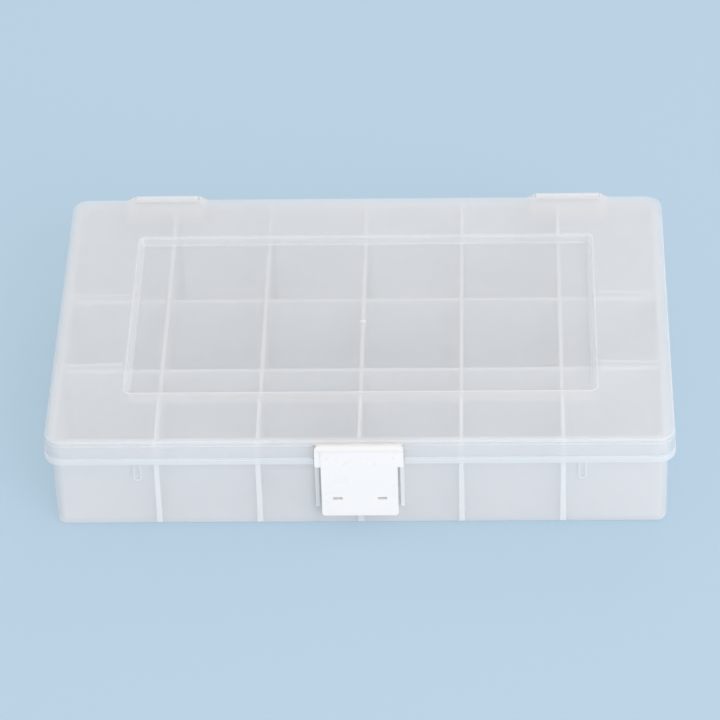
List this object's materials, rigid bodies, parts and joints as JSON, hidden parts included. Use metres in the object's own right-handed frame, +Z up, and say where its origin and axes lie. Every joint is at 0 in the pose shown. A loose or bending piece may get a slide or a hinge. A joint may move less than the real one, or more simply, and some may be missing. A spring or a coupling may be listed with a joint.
{
  "type": "lidded compartment box",
  "caption": "Frosted plastic bead box with moulded compartments, one hinged lid with a sunken panel and a white snap latch.",
  "frame": {"origin": "centre of the tray's footprint, on the surface that the box stands on", "axes": "+X to the right and along the box's length, +Y from the latch to the hinges, +Z up; drawn closed and latched"},
  "size_m": [0.2368, 0.162, 0.0425],
  "materials": {
    "frosted_tray": "translucent frosted polypropylene, matte",
    "frosted_lid": "translucent frosted polypropylene, satin",
    "white_latch": "opaque white, semi-gloss"
  },
  "bodies": {
    "tray": {"tray": "frosted_tray", "divider_1": "frosted_tray", "divider_2": "frosted_tray", "divider_3": "frosted_tray", "divider_4": "frosted_tray", "divider_5": "frosted_tray", "cross_divider_front": "frosted_tray", "cross_divider_rear": "frosted_tray"},
    "lid": {"lid": "frosted_lid"},
    "latch": {"latch": "white_latch"}
  },
  "joints": [
    {"name": "lid_hinge", "type": "hinge", "parent": "tray", "child": "lid", "pos_m": [0, 0.08045, 0.0377], "axis": [-1, 0, 0], "range_deg": [0, 180]},
    {"name": "latch_hinge", "type": "hinge", "parent": "lid", "child": "latch", "pos_m": [0, -0.07665, 0.0386], "axis": [-1, 0, 0], "range_deg": [0, 100]}
  ]
}
